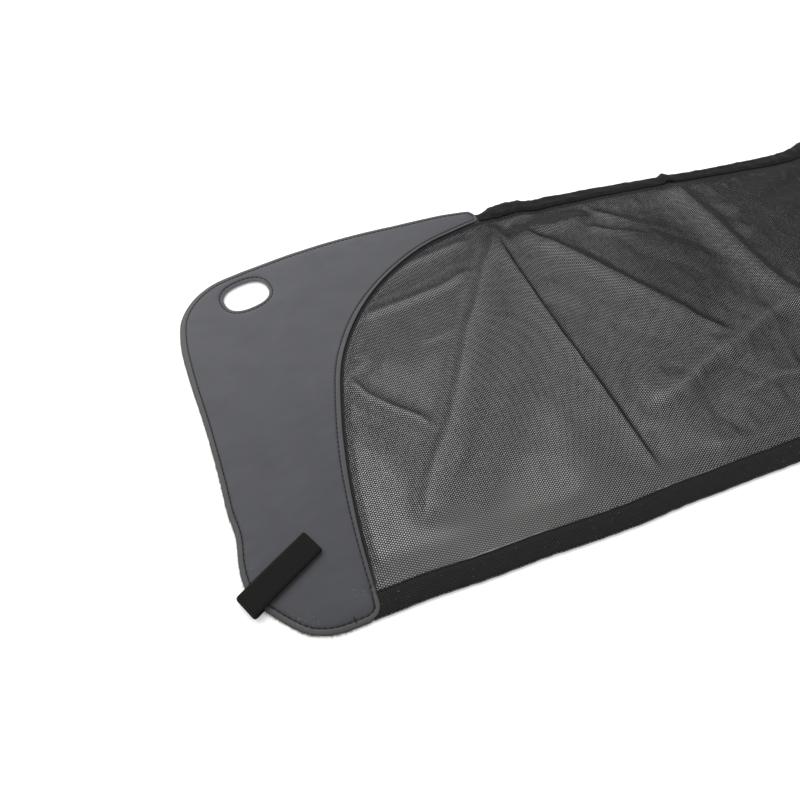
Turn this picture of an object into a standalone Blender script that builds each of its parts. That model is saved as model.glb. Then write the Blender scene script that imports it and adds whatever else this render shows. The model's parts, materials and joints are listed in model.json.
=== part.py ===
"""Soft wind screen for an open car: a black net with a leatherette end sleeve at each end.

Metres, +Z up. The screen lies flat and open on the floor (z = 0). +X runs along it and +Y runs
towards its top hem, with the origin under the middle fold. The right sleeve mirrors the left one;
only the top hem, which is soft and lies as it falls, differs from side to side. Points of an outline
are in millimetres, and a sleeve's are those of the left one.
"""
import math

import bpy
from mathutils import Matrix, Vector
from mathutils.geometry import interpolate_bezier

MM = 0.001
GAP = 0.0003                # clearance between pieces that touch on the real screen

# Heights of the layers at an end sleeve: back ply, net, front ply, thread
BACK_PLY = (0.0, 0.0012)
NET = (0.0015, 0.0021)
FRONT_PLY = (0.0024, 0.0036)
THREAD_RADIUS = 0.00035
BACK_PLY_PROUD = 0.0007     # the knit back ply stands out past the front ply

# End sleeve
TIP = [(-230, 158.6), (-227.6, 162), (-228.3, 171), (-232.5, 176)]
OUTER_EDGE = [
    (-232.5, 176), (-262, 180.5), (-307, 183), (-362, 182.8), (-417, 179.4), (-459.5, 174),
    (-490, 168.4), (-513.3, 162), (-532.6, 148.6), (-546.4, 128), (-551.2, 101.4), (-550.3, 64),
    (-545.2, 8), (-541.8, -63), (-541.4, -128), (-538.5, -145), (-529.5, -158.8),
]
BOTTOM_EDGE = [(-529.5, -158.8), (-516.4, -173.6), (-504.8, -183.6), (-491, -188.9), (-464, -189.9)]
LOWER_CORNER = [(-464, -189.9), (-457.2, -187.4), (-453.8, -181.8), (-453.7, -175.5)]
INNER_CURVE = [
    (-453.7, -175.5), (-451.9, -133), (-445.2, -75.8), (-433.7, -20), (-417.2, 32.4),
    (-387, 79.2), (-337.9, 121.5), (-285.4, 146.8), (-251.5, 154.2), (-230, 158.6),
]
SPAN_STEPS = 3
OUTER_SEAM_INSET = 0.0045
INNER_SEAM_INSET = 0.003
NET_OVERLAP = 0.012         # how far the net reaches into the sleeve

# Oval window in the upper outer corner of the sleeve
WINDOW_CENTRE = (-483, 137.8)
WINDOW_LONG = 0.0442
WINDOW_WIDE = 0.0345
WINDOW_FULLNESS = 2.5       # 2 would be an ellipse
WINDOW_TILT = math.radians(13)
WINDOW_SEAM_OFFSET = 0.0033
WINDOW_STEPS = 28

# Elastic strap at the lower outer corner
STRAP_TURN = (-540, -152)   # middle of the fold that it swings about
STRAP_ANGLE = math.radians(28)
STRAP_WIDTH = 0.020
STRAP_LENGTH = 0.060
STRAP_PLY = 0.0011
STRAP_TURN_HEIGHT = 0.0043
STRAP_LIFT = 0.0006         # from the turn's height to the underside of the loop
STRAP_ROOT = (0.0006, 0.021)  # where the sewn root starts and ends, from the turn
STRAP_SLIT = 0.00035        # between the loop's two plies

# Folds: the middle one and one just past each sleeve's tip
SIDE_FOLD = 0.207
SIDE_FOLD_HEIGHT = 0.018
MIDDLE_FOLD_HEIGHT = 0.009
FAR_FOLD_HEIGHT = -0.0005
FOLD_GAP = 0.0006
SECTIONS = ("left_end", "mid_left", "mid_right", "right_end")

# Hems of the net
HEM_LAYERS = (0.0003, 0.0033)
HEM_WALL = 0.0006
TOP_EDGE = [
    (-224.5, 171.5), (-202, 177.5), (-157, 172), (-102, 168.4), (-52, 164), (-10, 160.2),
    (10, 158.6), (47, 154.6), (97, 151), (138, 148.8), (166, 149.5), (184, 153.8),
    (197, 158), (207, 158), (217, 158), (221.5, 157.4),
]
TOP_HEM_WIDTH = 0.017
BOTTOM_HEM_OUTER = -0.191
BOTTOM_HEM_WIDTH = 0.0195
BOTTOM_HEM_END = -0.4522    # just clear of the sleeve's lower corner
HEM_SEAM_INSET = 0.0022
NET_IN_HEM = 0.006
TAPE_LAYERS = (0.0012, 0.0024)
TOP_ELASTIC_WIDTH = 0.009
BOTTOM_TAPE_WIDTH = 0.010
BARTACK_LENGTH = 0.010

MATERIALS = {
    "leatherette": ((0.095, 0.098, 0.108), 0.55),
    "knit_backing": ((0.11, 0.115, 0.11), 0.9),
    "net": ((0.018, 0.018, 0.019), 0.6),
    "hem_fabric": ((0.016, 0.016, 0.017), 0.7),
    "tape": ((0.02, 0.02, 0.02), 0.8),
    "thread": ((0.008, 0.008, 0.009), 0.5),
    "elastic": ((0.012, 0.012, 0.013), 0.75),
}


# Paths and outlines, as lists of points in the plane

def metres(points):
    return [Vector((x * MM, y * MM)) for x, y in points]


def curve_through(points, steps=SPAN_STEPS):
    """A smooth curve through the points, with `steps` straight pieces in each span."""
    spans = [b - a for a, b in zip(points, points[1:])]
    slopes = [span.normalized() for span in spans]
    slopes = [slopes[0]] + [
        (a.normalized() * b.length + b.normalized() * a.length).normalized()
        for a, b in zip(spans, spans[1:])
    ] + [slopes[-1]]
    path = [points[0]]
    for start, end, span, leave, arrive in zip(points, points[1:], spans, slopes, slopes[1:]):
        reach = span.length / 3
        knots = interpolate_bezier(start, start + leave * reach, end - arrive * reach, end, steps + 1)
        path += [Vector(knot[:2]) for knot in knots[1:]]
    return path


def left_of(path, distance):
    """The path moved sideways by `distance`, to the left of its own direction."""
    moved = []
    for before, point, after in zip(path[:1] + path, path, path[1:] + path[-1:]):
        way = (after - before).normalized()
        moved.append(point + Vector((-way.y, way.x)) * distance)
    return moved


def trimmed(path, start, end):
    """The path without the stretches `start` and `end` at its two ends."""
    for length in (start, end):
        path = list(path)
        while (path[1] - path[0]).length < length:
            length -= (path[1] - path[0]).length
            path.pop(0)
        path[0] = path[0].lerp(path[1], length / (path[1] - path[0]).length)
        path = path[::-1]
    return path


def oval(centre, long_axis, short_axis, tilt, steps):
    """A closed superellipse, with fuller shoulders than an ellipse."""
    middle = Vector(centre) * MM
    turn = Matrix.Rotation(tilt, 2)
    power = 2 / WINDOW_FULLNESS
    points = []
    for i in range(steps):
        c, s = math.cos(2 * math.pi * i / steps), math.sin(2 * math.pi * i / steps)
        x = math.copysign(abs(c) ** power, c) * long_axis / 2
        y = math.copysign(abs(s) ** power, s) * short_axis / 2
        points.append(middle + turn @ Vector((x, y)))
    return points


def wound(outline, hole=False):
    """The outline run anticlockwise, or clockwise round a hole, so that its walls face out."""
    ends = zip(outline, outline[1:] + outline[:1])
    area = sum(a.x * b.y - a.y * b.x for a, b in ends)
    return outline if (area > 0) != hole else outline[::-1]


def mirrored(path):
    """The right half's copy of a path, turned end for end so that it still runs towards +X."""
    return [Vector((-point.x, point.y)) for point in reversed(path)]


# Objects

def clear_scene():
    for thing in list(bpy.data.objects):
        bpy.data.objects.remove(thing, do_unlink=True)


def new_collection(name):
    made = bpy.data.collections.new(name)
    bpy.context.scene.collection.children.link(made)
    return made


def make_materials():
    made = {}
    for name, (colour, roughness) in MATERIALS.items():
        material = bpy.data.materials.new(name)
        material.use_nodes = True
        shader = material.node_tree.nodes["Principled BSDF"]
        shader.inputs["Base Color"].default_value = (*colour, 1)
        shader.inputs["Roughness"].default_value = roughness
        shader.inputs["Metallic"].default_value = 0
        made[name] = material
    return made


class Builder:
    """Puts pieces in the collection, each under the empty of the body that it moves with."""

    def __init__(self):
        self.parts = new_collection("wind_screen")
        self.guides = new_collection("hem_profiles")
        self.materials = make_materials()
        self.empties = {}
        self.places = {}

    def body(self, name, place, parent=None):
        empty = bpy.data.objects.new(name, None)
        empty.empty_display_size = 0.03
        empty.location = Vector(place) - self.places.get(parent, Vector())
        empty.parent = self.empties.get(parent)
        self.parts.objects.link(empty)
        self.empties[name] = empty
        self.places[name] = Vector(place)

    def add(self, name, data, body, material, height=0.0):
        """Links the piece, with its points given from the body's own place."""
        piece = bpy.data.objects.new(name, data)
        piece.parent = self.empties[body]
        piece.location = (0, 0, height - self.places[body].z)
        data.materials.append(self.materials[material])
        self.parts.objects.link(piece)
        return piece

    def local(self, path, body):
        place = self.places[body]
        return [point - place.xy for point in path]

    def flat(self, name, outlines, layer, body, material):
        """A flat sheet between the two heights of `layer`; the outlines after the first are holes."""
        low, high = layer
        data = bpy.data.curves.new(name, "CURVE")
        data.dimensions = "2D"
        data.fill_mode = "BOTH"
        data.extrude = (high - low) / 2
        for i, outline in enumerate(outlines):
            add_spline(data, wound(self.local(outline, body), hole=i > 0), closed=True)
        return self.add(name, data, body, material, (low + high) / 2)

    def thread(self, name, path, height, body, closed=False):
        """A seam's thread, lying along the path at the height of its own centre."""
        data = bpy.data.curves.new(name, "CURVE")
        data.dimensions = "3D"
        data.bevel_depth = THREAD_RADIUS
        data.bevel_resolution = 0
        data.use_fill_caps = True
        add_spline(data, self.local(path, body), closed)
        return self.add(name, data, body, "thread", height)

    def swept(self, name, path, profile, body, material):
        """The profile swept along the path."""
        data = bpy.data.curves.new(name, "CURVE")
        data.dimensions = "3D"
        data.bevel_mode = "OBJECT"
        data.bevel_object = profile
        data.use_fill_caps = True
        add_spline(data, self.local(path, body), closed=False)
        return self.add(name, data, body, material)

    def profile(self, name, points):
        """A closed profile for sweeping: x runs across the path and y runs up."""
        data = bpy.data.curves.new(name, "CURVE")
        data.dimensions = "2D"
        data.fill_mode = "NONE"
        add_spline(data, points, closed=True)
        guide = bpy.data.objects.new(name, data)
        guide.hide_render = True
        guide.display_type = "WIRE"
        self.guides.objects.link(guide)
        return guide


def add_spline(data, path, closed):
    spline = data.splines.new("POLY")
    spline.points.add(len(path) - 1)
    for knot, point in zip(spline.points, path):
        knot.co = (point.x, point.y, 0, 1)
    spline.use_cyclic_u = closed


# The sleeve's own lines, for the left half

def sleeve_lines():
    outer = curve_through(metres(OUTER_EDGE)) + curve_through(metres(BOTTOM_EDGE))[1:]
    corner = curve_through(metres(LOWER_CORNER), 2)[1:]
    inner = curve_through(metres(INNER_CURVE))
    tip = curve_through(metres(TIP), 2)[1:-1]
    return outer, corner, inner, tip


def sleeve_outline(outer, corner, inner, tip):
    return outer + corner + inner[1:] + tip


def cut_at_folds(path):
    """The path's stretch on each section, with a gap at each fold."""
    stretches = []
    for fold in (-SIDE_FOLD, 0, SIDE_FOLD):
        after = next(i for i, point in enumerate(path) if point.x > fold)
        start, end = path[after - 1], path[after]
        crossing = start.lerp(end, (fold - start.x) / (end.x - start.x))
        back = (start - end).normalized() * FOLD_GAP / 2
        stretches.append([point for point in path if point.x < fold - FOLD_GAP] + [crossing + back])
        path = [crossing - back] + [point for point in path if point.x > fold + FOLD_GAP]
    return stretches + [path]


def hem_lines():
    """The outer edges of the top and bottom hems, one pair for each section."""
    top = curve_through(metres(TOP_EDGE))
    bottom = [Vector((BOTTOM_HEM_END, BOTTOM_HEM_OUTER)), Vector((-BOTTOM_HEM_END, BOTTOM_HEM_OUTER))]
    return zip(SECTIONS, cut_at_folds(top), cut_at_folds(bottom))


def casing_points(width, side):
    """A folded hem's cross-section, open towards the net, from its outer edge at x = 0.

    A profile's +X lies to the right of a path, so `side` is 1 for a net on the right and -1 on the left.
    """
    low, high = HEM_LAYERS
    wall = HEM_WALL
    across = [0, width, width, wall, wall, width, width, 0]
    up = [low, low, low + wall, low + wall, high - wall, high - wall, high, high]
    points = [Vector((side * x, z)) for x, z in zip(across, up)]
    return points[::-1] if side > 0 else points


# Pieces

def end_sleeve(make, side, flip, body):
    """Front and back plies with their window, and the seams that close them."""
    outer, corner, inner, tip = sleeve_lines()
    outline = sleeve_outline(outer, corner, inner, tip)
    proud = left_of(outer, -BACK_PLY_PROUD)
    back_outline = sleeve_outline(proud, corner, inner, tip)
    window = oval(WINDOW_CENTRE, WINDOW_LONG, WINDOW_WIDE, WINDOW_TILT, WINDOW_STEPS)
    rim = 2 * WINDOW_SEAM_OFFSET
    ring = oval(
        WINDOW_CENTRE, WINDOW_LONG + rim, WINDOW_WIDE + rim, WINDOW_TILT, WINDOW_STEPS
    )
    outer_seam = trimmed(left_of(outer, OUTER_SEAM_INSET), 0.008, 0.012)
    inner_seam = trimmed(left_of(inner, INNER_SEAM_INSET), 0.012, 0.010)
    on_top = FRONT_PLY[1] + GAP + THREAD_RADIUS
    make.flat(f"{side}_back_ply", [flip(back_outline), flip(window)], BACK_PLY, body, "knit_backing")
    make.flat(f"{side}_front_ply", [flip(outline), flip(window)], FRONT_PLY, body, "leatherette")
    make.thread(f"{side}_outer_seam", flip(outer_seam), on_top, body)
    make.thread(f"{side}_net_edge_seam", flip(inner_seam), on_top, body)
    make.thread(f"{side}_window_seam", flip(ring), on_top, body, closed=True)
    make.thread(f"{side}_hem_bartack", flip(bartack_line(corner)), on_top, body)


def bartack_line(corner):
    """A short tack across the sleeve's lower corner, where the bottom hem is caught."""
    end = corner[-1] + Vector((-0.0035, 0.002))
    return [end + Vector((0, -BARTACK_LENGTH)), end - Vector((0, BARTACK_LENGTH / 2)), end]


def sleeve_side():
    """The left net's edge inside the sleeve, from the bottom hem to the top hem."""
    hidden = trimmed(left_of(sleeve_lines()[2], NET_OVERLAP), 0.006, 0.022)
    hem_top = BOTTOM_HEM_OUTER + BOTTOM_HEM_WIDTH
    floor = hem_top - NET_IN_HEM
    step = [(BOTTOM_HEM_END, floor), (BOTTOM_HEM_END, hem_top), (hidden[0].x, hem_top)]
    return [Vector(point) for point in step] + hidden


def net(make, body, top_edge, bottom_edge):
    """One section's net, which reaches into both hems and, at an end, into the sleeve."""
    top = left_of(top_edge, NET_IN_HEM - TOP_HEM_WIDTH)
    floor = BOTTOM_HEM_OUTER + BOTTOM_HEM_WIDTH - NET_IN_HEM
    low, high = bottom_edge[0].x, bottom_edge[-1].x
    before, after = sleeve_side(), mirrored(sleeve_side())
    if body != "left_end":
        before = [Vector((low, floor)), Vector((low, top[0].y))]
        top = [point for point in top if point.x > low]
    if body != "right_end":
        after = [Vector((high, top[-1].y)), Vector((high, floor))]
        top = [point for point in top if point.x < high]
    make.flat(f"{body}_net", [before + top + after], NET, body, "net")


def strip(path, inner, outer):
    """The outline of a flat band beside a path, between two distances to its right."""
    return left_of(path, -inner) + left_of(path, -outer)[::-1]


def hems(make, body, top, bottom, profiles):
    """The two hems of one net section, with the elastic, the tape and the seams."""
    wall = HEM_WALL + GAP
    on_hem = HEM_LAYERS[1] + GAP + THREAD_RADIUS
    top_seam = left_of(top, HEM_SEAM_INSET - TOP_HEM_WIDTH)
    bottom_seam = left_of(bottom, BOTTOM_HEM_WIDTH - HEM_SEAM_INSET)
    elastic = strip(top, wall, wall + TOP_ELASTIC_WIDTH)
    tape = strip(bottom, -wall, -wall - BOTTOM_TAPE_WIDTH)
    make.swept(f"{body}_top_hem", top, profiles["top"], body, "hem_fabric")
    make.swept(f"{body}_bottom_hem", bottom, profiles["bottom"], body, "hem_fabric")
    make.flat(f"{body}_top_elastic", [elastic], TAPE_LAYERS, body, "elastic")
    make.flat(f"{body}_bottom_tape", [tape], TAPE_LAYERS, body, "tape")
    make.thread(f"{body}_top_hem_seam", top_seam, on_hem, body)
    make.thread(f"{body}_bottom_hem_seam", bottom_seam, on_hem, body)


def strap_root(make, side, flip, body):
    """The elastic's sewn root, between the two plies of the sleeve."""
    turn = Vector(STRAP_TURN) * MM
    along = Vector((math.cos(STRAP_ANGLE), math.sin(STRAP_ANGLE)))
    across = Vector((-along.y, along.x)) * STRAP_WIDTH / 2
    start, end = (turn + along * reach for reach in STRAP_ROOT)
    outline = [start - across, end - across, end + across, start + across]
    make.flat(f"{side}_strap_root", [flip(outline)], NET, body, "elastic")


def strap_loop(make, side, turn_about_z, body):
    """The doubled elastic, turned back over the sleeve: two plies joined by a round end."""
    ply = STRAP_PLY
    slit = STRAP_SLIT
    middle = STRAP_LIFT + ply + slit / 2
    centre = Vector((STRAP_LENGTH - ply - slit / 2, middle))
    bend = [math.radians(a) for a in range(-90, 91, 30)]
    outer = [centre + Vector((math.cos(a), math.sin(a))) * (ply + slit / 2) for a in bend]
    inner = [centre + Vector((math.cos(a), math.sin(a))) * (slit / 2) for a in bend]
    start = STRAP_ROOT[0]
    low = [Vector((start, middle - slit / 2)), Vector((start, STRAP_LIFT))]
    high = [Vector((start, middle + slit / 2 + ply)), Vector((start, middle + slit / 2))]
    data = bpy.data.curves.new(f"{side}_strap_loop", "CURVE")
    data.dimensions = "2D"
    data.fill_mode = "BOTH"
    data.extrude = STRAP_WIDTH / 2
    add_spline(data, low + outer + high + inner[::-1], closed=True)
    loop = make.add(f"{side}_strap_loop", data, body, "elastic")
    loop.location = (0, 0, 0)
    loop.rotation_euler = (math.pi / 2, 0, turn_about_z)


def unchanged(path):
    return path


def build_bodies(make):
    """The left sleeve is the fixed body, and the rest folds over it section by section."""
    turn_x, turn_y = Vector(STRAP_TURN) * MM
    make.body("left_end", (0, 0, 0))
    make.body("mid_left", (-SIDE_FOLD, 0, SIDE_FOLD_HEIGHT), "left_end")
    make.body("mid_right", (0, 0, MIDDLE_FOLD_HEIGHT), "mid_left")
    make.body("right_end", (SIDE_FOLD, 0, FAR_FOLD_HEIGHT), "mid_right")
    make.body("left_strap", (turn_x, turn_y, STRAP_TURN_HEIGHT), "left_end")
    make.body("right_strap", (-turn_x, turn_y, STRAP_TURN_HEIGHT), "right_end")


def build():
    clear_scene()
    make = Builder()
    build_bodies(make)
    profiles = {
        "top": make.profile("top_casing", casing_points(TOP_HEM_WIDTH, 1)),
        "bottom": make.profile("bottom_casing", casing_points(BOTTOM_HEM_WIDTH, -1)),
    }
    for side, flip, angle in (
        ("left", unchanged, STRAP_ANGLE),
        ("right", mirrored, math.pi - STRAP_ANGLE),
    ):
        end_sleeve(make, side, flip, f"{side}_end")
        strap_root(make, side, flip, f"{side}_end")
        strap_loop(make, side, angle, f"{side}_strap")
    for body, top, bottom in hem_lines():
        net(make, body, top, bottom)
        hems(make, body, top, bottom, profiles)


build()
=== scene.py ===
"""The looks of the soft wind screen: knitted net, gathered hems, leatherette sleeves and elastic straps.

Lengths below are in millimetres until a mesh is made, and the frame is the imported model's own.
"""
import json
import math

import bpy
import numpy as np
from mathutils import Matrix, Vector
from mathutils.geometry import delaunay_2d_cdt

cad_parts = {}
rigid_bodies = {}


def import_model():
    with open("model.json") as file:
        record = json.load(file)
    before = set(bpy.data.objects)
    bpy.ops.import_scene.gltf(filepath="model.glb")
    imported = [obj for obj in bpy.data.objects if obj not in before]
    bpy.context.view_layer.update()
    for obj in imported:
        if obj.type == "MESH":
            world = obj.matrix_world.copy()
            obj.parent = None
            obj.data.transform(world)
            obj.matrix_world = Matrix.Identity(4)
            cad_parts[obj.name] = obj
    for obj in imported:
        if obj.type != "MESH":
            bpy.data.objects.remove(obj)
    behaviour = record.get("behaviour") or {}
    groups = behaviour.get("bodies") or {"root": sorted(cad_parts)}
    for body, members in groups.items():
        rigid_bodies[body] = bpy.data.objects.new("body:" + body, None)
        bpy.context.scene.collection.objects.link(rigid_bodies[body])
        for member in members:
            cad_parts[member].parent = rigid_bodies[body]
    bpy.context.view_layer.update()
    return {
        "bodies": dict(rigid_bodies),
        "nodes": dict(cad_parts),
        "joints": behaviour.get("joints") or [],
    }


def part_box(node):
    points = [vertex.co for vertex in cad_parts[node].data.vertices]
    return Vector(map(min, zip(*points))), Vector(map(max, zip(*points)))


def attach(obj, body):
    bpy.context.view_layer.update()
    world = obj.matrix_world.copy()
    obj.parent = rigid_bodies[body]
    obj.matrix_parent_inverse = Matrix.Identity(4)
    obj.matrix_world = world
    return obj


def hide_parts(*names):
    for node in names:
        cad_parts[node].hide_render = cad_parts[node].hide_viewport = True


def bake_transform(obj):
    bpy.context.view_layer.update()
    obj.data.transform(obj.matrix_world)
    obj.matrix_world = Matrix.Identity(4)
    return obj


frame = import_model()

MM = 0.001
SECTIONS = ("left_end", "mid_left", "mid_right", "right_end")
WAVES = 7                   # sines that make up one soft undulation

# Knitted net: hexagonal holes in columns along Y, the first row of them at NET_BASE
COLUMN = 1.655              # between columns of holes
PITCH = 1.97                # between holes in a column
HOLE = 0.80                 # from a hole's centre to its corners
RELIEF = 0.05               # how far the knots stand out of the strands
YARN = 0.60                 # thickness of the strands
NET_BASE = -198.0
NET_ROWS = 197

# Heights of the layers above the floor
FLOOR_CLEAR = 0.66          # lowest point of the net
BACK_TOP = 1.2              # upper side of the back ply
NET_AT_SLEEVE = 1.75        # the net where it is caught between the plies, or in a hem
FRONT_LOW = 2.3             # lower side of the front ply
PLY = 1.2                   # thickness of the front ply

# Seams
THREAD = 0.38               # radius
STITCH = 4.4                # pitch along a sleeve's seam
HEM_STITCH = 3.2            # pitch along a hem's seam
TIP_SEAM = 3.2              # from the sleeve's outer edge, at the tip
OUTER_SEAM = 3.8            # the same, along the rest of the edge
CORNER_SEAM = 5.4           # the same, round the upper corner, where it is widest
NET_SEAM = 3.0              # from the sleeve's inner curve, at its ends
MIDDLE_NET_SEAM = 4.5       # the same, half-way down
WINDOW_SEAM = 3.3           # from the window's rim

# Where the elastic draws the sleeve's edge in, how far, and over what length
PINCHED = (-541, -101)
PINCH = 3.6
PINCH_REACH = 17

# Crease pressed into the leatherette, and the tack and loose thread end at the lower corner
LEATHER_CREASE = np.array([[-526, 25], [-505, -35], [-478, -105]])
BARTACK = [(-458.6, -183.5), (-457.6, -178.5), (-456.8, -173)]
THREAD_TAIL = [(-473.5, -182.5), (-473.3, -186), (-472.8, -189.2)]

# Elastic strap
STRAP_PLY = 1.05
STRAP_WIDTH = 20.0
STRAP_END = 61              # from the turn to the end
RIB = 1.5                   # between ribs of the elastic
RIB_HEIGHT = 0.15

# Folds across the screen, and where the hems are cut between them
JOINTS = {joint["name"]: joint for joint in frame["joints"]}
HEM_CUT = -JOINTS["left_fold"]["pos_m"][0] / MM / 2


# Small helpers for paths and fields

def smooth(t):
    t = np.clip(t, 0, 1)
    return t * t * (3 - 2 * t)


def bump(t):
    """A rounded hill of height 1 about t = 0, flat beyond 1."""
    return 1 - smooth(np.abs(t))


def gauss(t):
    return np.exp(-t * t)


def waves(x, y, seed, length):
    """Soft random undulation between about -1 and 1, with waves near the given length."""
    random = np.random.RandomState(seed)
    total = np.zeros(np.broadcast(x, y).shape)
    for _ in range(WAVES):
        angle, phase = random.uniform(0, math.tau, 2)
        k = math.tau / (length * random.uniform(0.7, 1.6))
        total += np.sin(k * (x * math.cos(angle) + y * math.sin(angle)) + phase)
    return total / math.sqrt(WAVES)


def lengths_along(path):
    return np.concatenate([[0], np.cumsum(np.linalg.norm(np.diff(path, axis=0), axis=1))])


def rounded(path, spacing, closed=False):
    """The points joined by a smooth curve (Catmull-Rom) and laid out again at even spacing."""
    path = np.asarray(path, float)
    if closed:
        knots = np.vstack([path[-1:], path, path[:2]])
    else:
        knots = np.vstack([2 * path[0] - path[1], path, 2 * path[-1] - path[-2]])
    t = np.linspace(0, 1, 17)[:, None]
    fine = []
    for a, b, c, d in zip(knots, knots[1:], knots[2:], knots[3:]):
        slope_b = (c - a) * np.linalg.norm(c - b) / max(np.linalg.norm(c - b) + np.linalg.norm(b - a), 1e-9)
        slope_c = (d - b) * np.linalg.norm(c - b) / max(np.linalg.norm(d - c) + np.linalg.norm(c - b), 1e-9)
        h = t * t * (3 - 2 * t)
        fine.append(b + (c - b) * h + slope_b * t * (1 - t) ** 2 - slope_c * t * t * (1 - t))
    fine = np.vstack([piece[:-1] for piece in fine] + [fine[-1][-1:]])
    return evenly(fine, spacing, closed)


def sampled(path, at, values=None):
    """The path's points at the given lengths along it, or other values that belong to its points."""
    along = lengths_along(path)
    values = path if values is None else values
    return np.stack([np.interp(at, along, column) for column in values.T], -1)


def evenly(path, spacing, closed=False):
    length = lengths_along(path)[-1]
    at = np.linspace(0, length, max(int(round(length / spacing)), 3) + 1)
    return sampled(path, at[:-1] if closed else at)


def normals(path, closed=False):
    """Unit vectors to the left of a path in the plane."""
    if closed:
        way = np.roll(path, -1, 0) - np.roll(path, 1, 0)
    else:
        way = np.gradient(path, axis=0)
    way /= np.linalg.norm(way, axis=1)[:, None]
    return np.column_stack([-way[:, 1], way[:, 0]])


def moved_in(rim, distance):
    return rim + normals(rim, closed=True) * distance


def distance_to(points, path, closed=False):
    """How far each point lies from the path."""
    ends = np.vstack([path, path[:1]]) if closed else path
    best = np.full(len(points), 1e9)
    for a, b in zip(ends, ends[1:]):
        way = b - a
        t = np.clip(((points - a) @ way) / max(way @ way, 1e-12), 0, 1)
        gap = points - a - t[:, None] * way
        best = np.minimum(best, np.einsum("ij,ij->i", gap, gap))
    return np.sqrt(best)


def inside(points, loop):
    """True for each point within the closed loop."""
    x, y = points.T
    odd = np.zeros(len(points), bool)
    for (ax, ay), (bx, by) in zip(loop, np.roll(loop, -1, 0)):
        crosses = (ay > y) != (by > y)
        odd ^= crosses & (x < ax + (y - ay) * (bx - ax) / ((by - ay) or 1e-12))
    return odd


def rim_gap(points, rims):
    """How far each point lies from the nearest of the closed rims."""
    return np.min([distance_to(points, rim, closed=True) for rim in rims], axis=0)


def within(points, rims):
    """True for each point inside the first rim and outside the others."""
    return inside(points, rims[0]) & ~np.any([inside(points, rim) for rim in rims[1:]], axis=0)


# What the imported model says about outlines

def top_loops(node):
    """The closed outlines of a flat node's upper face, the longest first, run anticlockwise."""
    mesh = frame["nodes"][node].data
    points = np.array([v.co for v in mesh.vertices]) / MM
    top = points[:, 2].max()
    keys = [tuple(np.round(p[:2], 2)) for p in points]
    following = {}
    edges = set()
    for face in mesh.polygons:
        if all(points[i, 2] > top - 0.05 for i in face.vertices):
            ring = [keys[i] for i in face.vertices]
            edges |= set(zip(ring, ring[1:] + ring[:1]))
    for a, b in edges:
        if (b, a) not in edges:
            following[a] = b
    loops = []
    while following:
        start, here = next(iter(following.items()))
        loop = [start]
        del following[start]
        while here != start:
            loop.append(here)
            here = following.pop(here)
        loops.append(np.array(loop))
    return sorted(loops, key=lambda loop: -np.ptp(loop[:, 0]))


def chain(loop, start, end):
    """The stretch of a closed loop from the point nearest `start` to the one nearest `end`."""
    first = np.argmin(np.linalg.norm(loop - start, axis=1))
    turned = np.roll(loop, -first, axis=0)
    last = np.argmin(np.linalg.norm(turned - end, axis=1))
    return turned[:last + 1]


def hem_edge(kind, way):
    """A hem's outer edge along the whole screen: the upper one where `way` is 1, else the lower one."""
    edge = []
    for section in SECTIONS:
        loop = top_loops(f"{section}_{kind}")[0]
        for point in loop:
            near = loop[np.abs(loop[:, 0] - point[0]) < 6]
            if (point[1] > near[:, 1].mean()) == (way > 0):
                edge.append(tuple(point))
    return np.array(sorted(edge))


# Meshes

def new_object(name, points, faces, material, slot=None):
    """A smooth-shaded mesh object from points in millimetres and faces, with its material.

    The points at rest are kept as an attribute, so that a material stays put on fabric that bends.
    """
    points = np.asarray(points, float) * MM
    groups = faces if isinstance(faces[0], np.ndarray) else by_size(faces)
    sizes = np.concatenate([np.full(len(group), group.shape[1]) for group in groups])
    mesh = bpy.data.meshes.new(name)
    mesh.vertices.add(len(points))
    mesh.vertices.foreach_set("co", points.astype(np.float32).ravel())
    mesh.loops.add(int(sizes.sum()))
    mesh.loops.foreach_set("vertex_index", np.concatenate([group.ravel() for group in groups]))
    mesh.polygons.add(len(sizes))
    mesh.polygons.foreach_set("loop_start", np.concatenate([[0], np.cumsum(sizes)[:-1]]))
    mesh.polygons.foreach_set("use_smooth", np.ones(len(sizes), bool))
    mesh.update(calc_edges=True)
    mesh.validate()
    rest = mesh.attributes.new("rest", "FLOAT_VECTOR", "POINT")
    rest.data.foreach_set("vector", points.astype(np.float32).ravel())
    made = bpy.data.objects.new(name, mesh)
    bpy.context.scene.collection.objects.link(made)
    mesh.materials.append(MATERIAL[material])
    slot or material
    return made


def by_size(faces):
    """Faces given as lists, gathered into one array for each number of corners."""
    sizes = sorted({len(face) for face in faces})
    return [np.array([face for face in faces if len(face) == size]) for size in sizes]


def set_field(made, name, values):
    field = made.data.attributes.new(name, "FLOAT", "POINT")
    field.data.foreach_set("value", np.asarray(values, np.float32))


def grid_faces(rows, columns, closed_columns=False):
    """Quads over a grid of points numbered row by row, as an array."""
    r, c = np.meshgrid(np.arange(rows - 1), np.arange(columns - (not closed_columns)), indexing="ij")
    beside = (c + 1) % columns
    quads = [r * columns + c, r * columns + beside, (r + 1) * columns + beside, (r + 1) * columns + c]
    return np.stack(quads, -1).reshape(-1, 4)


def capped_faces(rings, size):
    """Faces of one closed tube made of rings of points: its sides, then its two ends."""
    faces = grid_faces(rings, size, closed_columns=True).tolist()
    last = (rings - 1) * size
    return faces + [list(range(size))[::-1], list(range(last, last + size))]


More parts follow.
